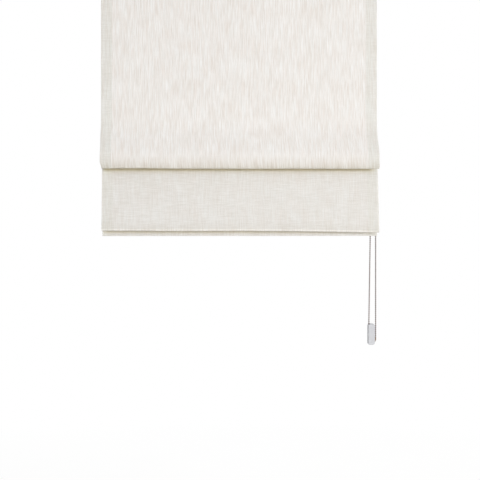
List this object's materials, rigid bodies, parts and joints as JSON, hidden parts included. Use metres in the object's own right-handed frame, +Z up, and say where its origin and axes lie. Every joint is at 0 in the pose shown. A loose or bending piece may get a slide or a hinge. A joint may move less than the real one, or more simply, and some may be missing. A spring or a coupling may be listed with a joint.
{
  "type": "roman blind",
  "caption": "Flat linen roman blind, half raised in two folds, with headrail, cord lift and a bead-chain loop on the right held taut by a wall tensioner.",
  "frame": {"origin": "middle of the four bracket screws, on the face that goes up against the window head", "axes": "+X to the right and -Y towards the room for a person who looks at the blind, +Z up"},
  "size_m": [0.8183, 0.1006, 1.1493],
  "materials": {
    "linen": "plain-woven slubbed linen",
    "hook_and_loop_tape": "napped tape",
    "rail_aluminium": "satin anodised",
    "white_plastic": "moulded, semi-gloss",
    "drive_plastic": "moulded, self-lubricating",
    "guide_plastic": "moulded, brown, self-lubricating",
    "ring_plastic": "clear-cast",
    "bracket_steel": "powder-coated spring steel",
    "shaft_steel": "drawn, zinc-plated",
    "rod_fibre": "pultruded glass fibre",
    "lift_cord": "braided polyester",
    "chain_metal": "antiqued ball chain"
  },
  "bodies": {
    "blind": {"shade_fabric": "linen", "rod_sleeve_top": "linen", "rod_sleeve_middle": "linen", "rod_sleeve_bottom": "linen", "hook_tape": "hook_and_loop_tape", "loop_tape": "hook_and_loop_tape", "headrail": "rail_aluminium", "bottom_bar": "rail_aluminium", "end_cap": "white_plastic", "clutch_housing": "white_plastic", "clutch_cover": "white_plastic", "spool_cradle_left": "white_plastic", "spool_cradle_middle": "white_plastic", "spool_cradle_right": "white_plastic", "tensioner_cover": "white_plastic", "tensioner_base": "white_plastic", "cord_locks": "drive_plastic", "cord_rings": "ring_plastic", "chain_connector": "ring_plastic", "mounting_bracket_left": "bracket_steel", "mounting_bracket_right": "bracket_steel", "rod_top": "rod_fibre", "rod_middle": "rod_fibre", "rod_bottom": "rod_fibre", "lift_cord_left": "lift_cord", "lift_cord_middle": "lift_cord", "lift_cord_right": "lift_cord", "bead_chain": "chain_metal"},
    "drive": {"drive_shaft": "shaft_steel", "shaft_bush": "drive_plastic", "cord_spool_left": "drive_plastic", "cord_spool_middle": "drive_plastic", "cord_spool_right": "drive_plastic", "chain_wheel": "drive_plastic"},
    "guide_wheel": {"tensioner_wheel": "guide_plastic"},
    "latch_left": {"bracket_latch_left": "bracket_steel"},
    "latch_right": {"bracket_latch_right": "bracket_steel"}
  },
  "joints": [
    {"name": "drive_turn", "type": "hinge", "parent": "blind", "child": "drive", "pos_m": [0, 0.009, -0.0237], "axis": [-1, 0, 0], "range_deg": [-3510, 3480], "deforming": ["bead_chain"]},
    {"name": "guide_turn", "type": "hinge", "parent": "blind", "child": "guide_wheel", "pos_m": [0.39735, 0.009, -1.132], "axis": [0, -1, 0], "range_deg": [-4210, 4190]},
    {"name": "latch_left_turn", "type": "hinge", "parent": "blind", "child": "latch_left", "pos_m": [-0.3, 0, -0.003], "axis": [0, 0, -1], "range_deg": [0, 90]},
    {"name": "latch_right_turn", "type": "hinge", "parent": "blind", "child": "latch_right", "pos_m": [0.3, 0, -0.003], "axis": [0, 0, 1], "range_deg": [0, 90]}
  ],
  "couplings": [
    {"joint": "guide_turn", "follows": "drive_turn", "ratio": 1.0909}
  ]
}
